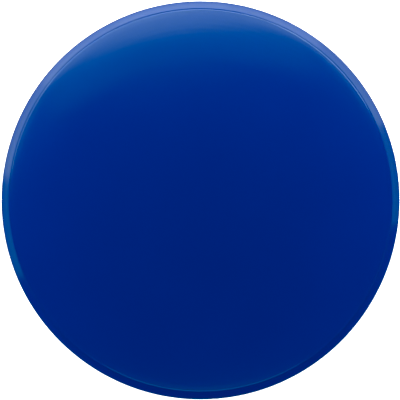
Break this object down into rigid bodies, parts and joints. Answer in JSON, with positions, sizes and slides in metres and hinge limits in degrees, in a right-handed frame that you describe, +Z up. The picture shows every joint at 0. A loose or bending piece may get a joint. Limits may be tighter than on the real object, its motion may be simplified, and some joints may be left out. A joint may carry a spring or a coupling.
{
  "type": "ice hockey puck",
  "caption": "Solid moulded rubber ice hockey puck: a thick plain disc with smooth faces, bevelled rims and a side wall with a grip band of raised diamonds.",
  "frame": {"origin": "centre of the lower face, on the plane that the puck rests on", "axes": "+Z up through the two faces; +X and +Y lie across the puck, and turning about +Z changes nothing but the phase of the diamonds"},
  "size_m": [0.0762, 0.0762, 0.0254],
  "materials": {
    "blue_rubber": "smooth and glossy, royal blue"
  },
  "bodies": {
    "root": {"puck_body": "blue_rubber"}
  },
  "joints": []
}
